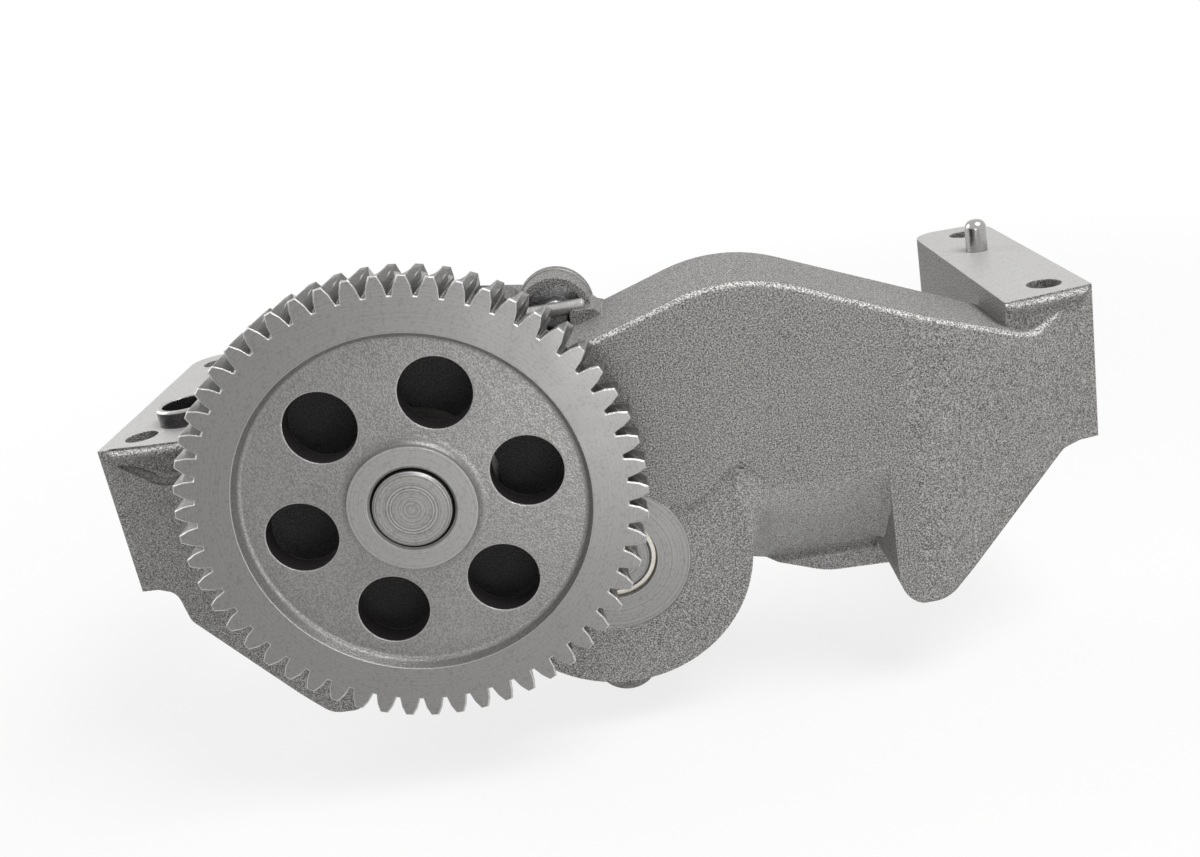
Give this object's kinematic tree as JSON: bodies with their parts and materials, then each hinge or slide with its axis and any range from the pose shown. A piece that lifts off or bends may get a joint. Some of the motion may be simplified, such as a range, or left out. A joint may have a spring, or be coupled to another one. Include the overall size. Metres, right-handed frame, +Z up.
{
  "type": "engine oil pump",
  "caption": "Gear oil pump on a cast bridge, with a large helical drive gear in front, meshing rotors, a rear cover with suction port and a spring relief valve.",
  "frame": {"origin": "centre of the four foot bolt holes, on the plane of the milled foot pads", "axes": "+X along the bridge to the right, +Y from the drive gear to the rear cover, +Z up to the crankcase, out of the foot pads"},
  "size_m": [0.34, 0.1637, 0.1775],
  "materials": {
    "cast_housing": "rough sand-cast and blasted grey metal",
    "cast_cover": "rough sand-cast grey metal",
    "gear_steel": "blasted steel with ground tooth edges",
    "turned_steel": "turned and ground steel",
    "bearing_shell": "plain bearing metal",
    "rotor_steel": "machined steel",
    "washer_steel": "hardened washer steel",
    "bolt_steel": "dark coated steel",
    "plug_steel": "plated sheet steel",
    "pin_steel": "ground and polished steel",
    "spring_steel": "spring wire"
  },
  "bodies": {
    "casing": {"pump_housing": "cast_housing", "pump_cover": "cast_cover", "bush_drive_front": "bearing_shell", "bush_drive_rear": "bearing_shell", "bush_idler_front": "bearing_shell", "bush_idler_rear": "bearing_shell", "thrust_washer": "washer_steel", "bore_plugs": "plug_steel", "cover_bolts": "bolt_steel", "cover_dowels": "pin_steel", "foot_dowel": "pin_steel", "outlet_sleeve": "pin_steel", "relief_spring": "spring_steel", "relief_cap": "rotor_steel", "relief_pin": "pin_steel"},
    "drive_train": {"drive_gear": "gear_steel", "drive_shaft": "turned_steel", "driving_rotor": "rotor_steel", "rotor_key": "rotor_steel"},
    "idler_train": {"driven_rotor": "rotor_steel", "idler_shaft": "turned_steel"},
    "relief_piston": {"relief_plunger": "rotor_steel"}
  },
  "joints": [
    {"name": "drive_spin", "type": "hinge", "parent": "casing", "child": "drive_train", "pos_m": [-0.0585, 0, -0.0225], "axis": [0, 1, 0], "continuous": true},
    {"name": "idler_spin", "type": "hinge", "parent": "casing", "child": "idler_train", "pos_m": [-0.00081, 0, -0.06215], "axis": [0, 1, 0], "continuous": true},
    {"name": "relief_slide", "type": "slide", "parent": "casing", "child": "relief_piston", "axis": [0, -1, 0], "range_m": [0, 0.007], "stiffness_N_per_m": 2000, "springref_m": -0.004, "deforming": ["relief_spring"]}
  ],
  "couplings": [
    {"joint": "idler_spin", "follows": "drive_spin", "ratio": -1}
  ]
}
